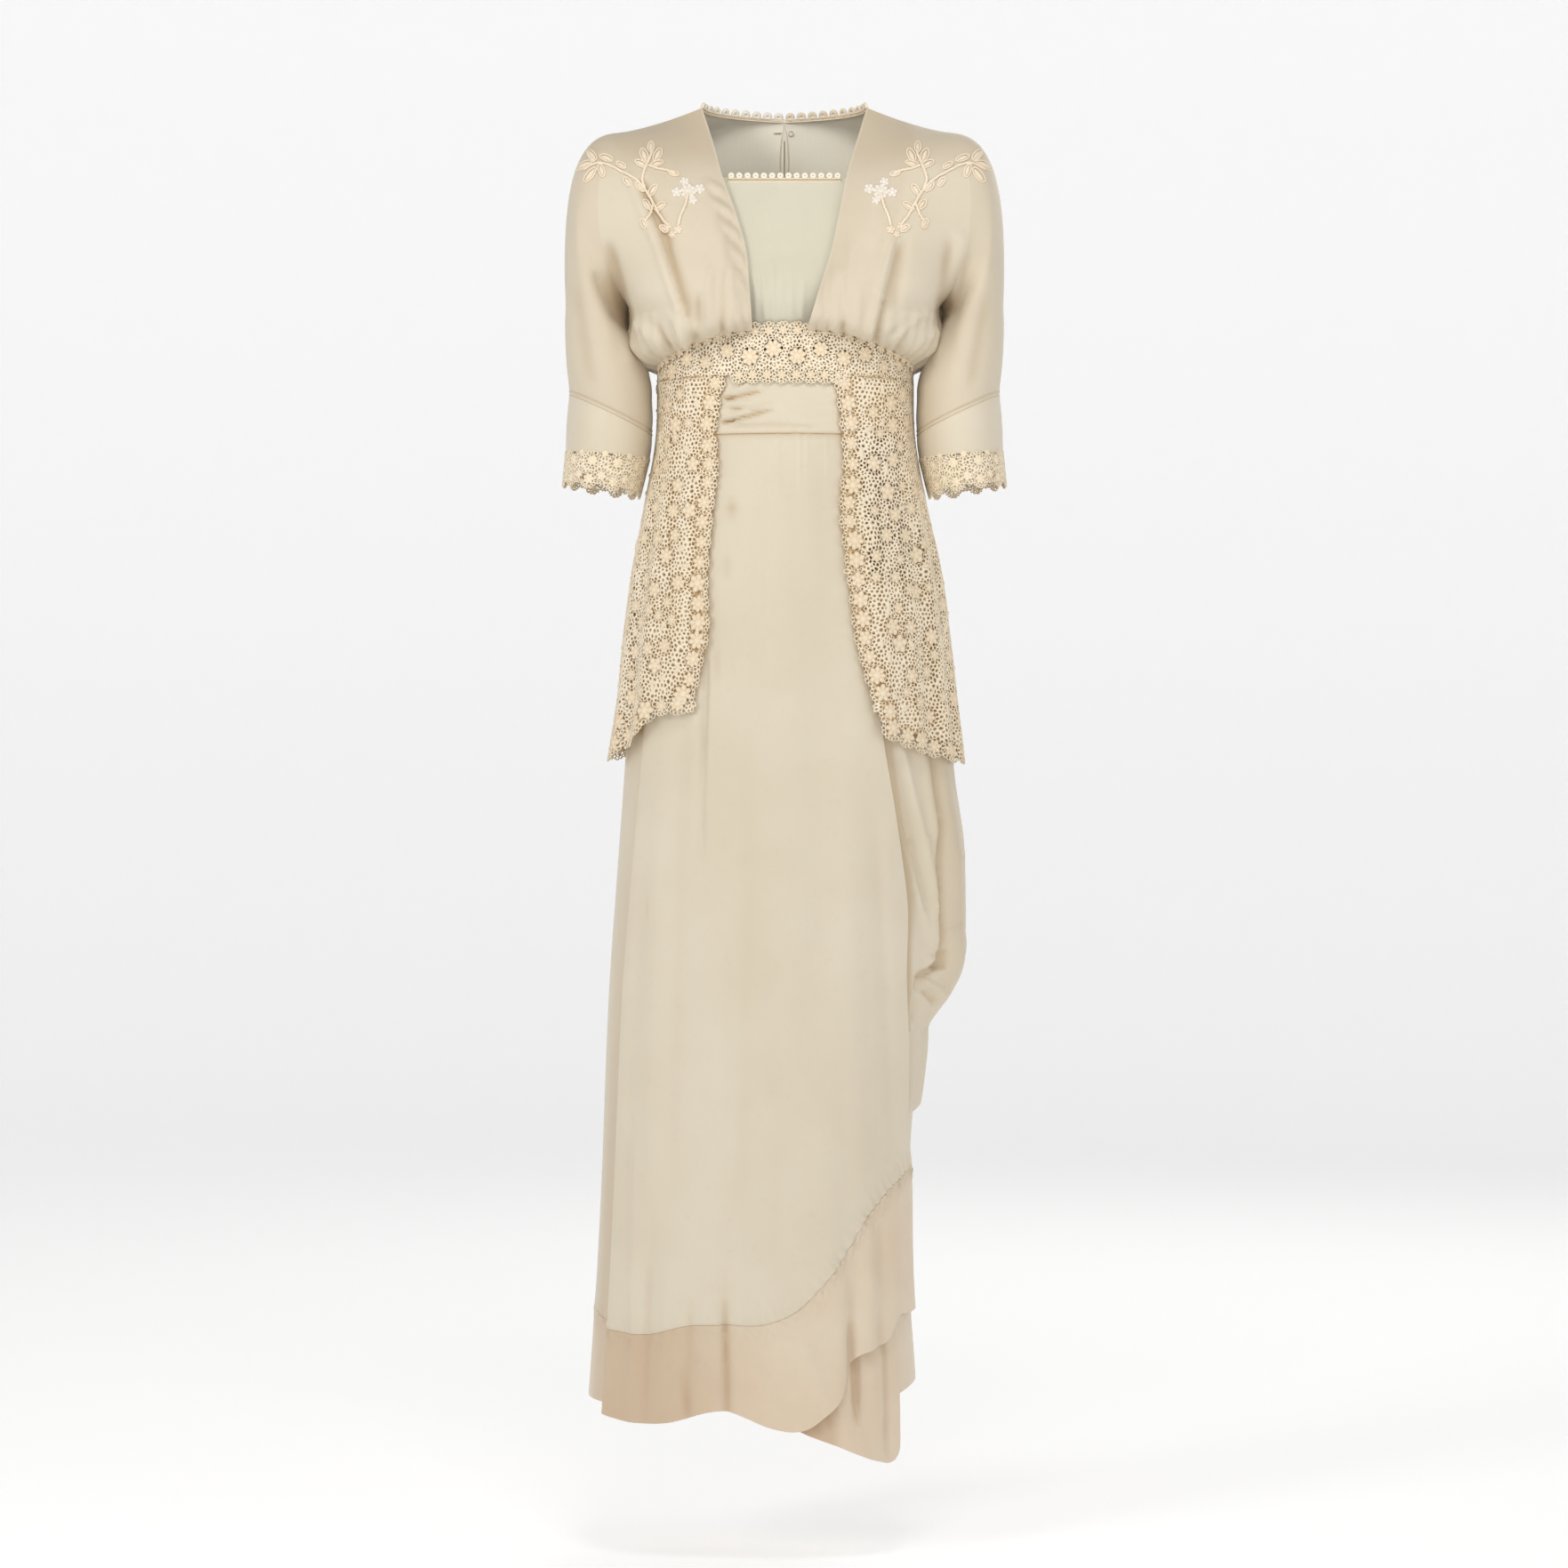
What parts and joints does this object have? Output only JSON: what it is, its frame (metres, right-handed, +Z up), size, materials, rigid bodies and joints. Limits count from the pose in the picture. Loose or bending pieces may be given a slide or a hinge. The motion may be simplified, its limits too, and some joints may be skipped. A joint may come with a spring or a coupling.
{
  "type": "peplum dress",
  "caption": "Long hollow silk gown with a V neck, elbow sleeves, a crochet lace belt, an open lace peplum and a wrapped, side-draped skirt.",
  "frame": {"origin": "midway between the shoulders, where the wearer carries the dress", "axes": "+Z up along the wearer, +X towards the wearer's left sleeve, the front faces -Y"},
  "size_m": [0.4718, 0.2956, 1.4395],
  "materials": {
    "ivory_chiffon": "sheer ivory silk chiffon over silk, soft sheen",
    "pale_net": "fine pale silk net, matte",
    "cream_satin": "cream silk satin, soft gloss",
    "peach_satin": "peach cream silk satin, soft gloss",
    "ecru_crochet": "ecru cotton crochet lace, matte",
    "white_crochet": "white crochet thread, matte",
    "hook_steel": "dull steel wire"
  },
  "bodies": {
    "root": {"bodice_front_left": "ivory_chiffon", "bodice_front_right": "ivory_chiffon", "bodice_back_left": "ivory_chiffon", "bodice_back_right": "ivory_chiffon", "sleeve_front_left": "ivory_chiffon", "sleeve_back_left": "ivory_chiffon", "sleeve_front_right": "ivory_chiffon", "sleeve_back_right": "ivory_chiffon", "chemisette": "pale_net", "waist_sash": "cream_satin", "skirt_front": "cream_satin", "skirt_back": "cream_satin", "side_drape": "cream_satin", "drape_tail": "cream_satin", "sleeve_band_left": "cream_satin", "sleeve_band_right": "cream_satin", "skirt_front_band": "peach_satin", "skirt_back_band": "peach_satin", "skirt_under_panel": "peach_satin", "lace_belt": "ecru_crochet", "peplum_left": "ecru_crochet", "peplum_right": "ecru_crochet", "peplum_edging_left": "ecru_crochet", "peplum_edging_right": "ecru_crochet", "cuff_lace_left": "ecru_crochet", "cuff_lace_right": "ecru_crochet", "neck_picots_left": "ecru_crochet", "neck_picots_right": "ecru_crochet", "chemisette_picots": "ecru_crochet", "stem_left": "ecru_crochet", "stem_right": "ecru_crochet", "leaves_left": "ecru_crochet", "leaves_right": "ecru_crochet", "bud_left": "ecru_crochet", "bud_right": "ecru_crochet", "rose_left": "white_crochet", "rose_right": "white_crochet", "hook": "hook_steel", "eye": "hook_steel"}
  },
  "joints": []
}
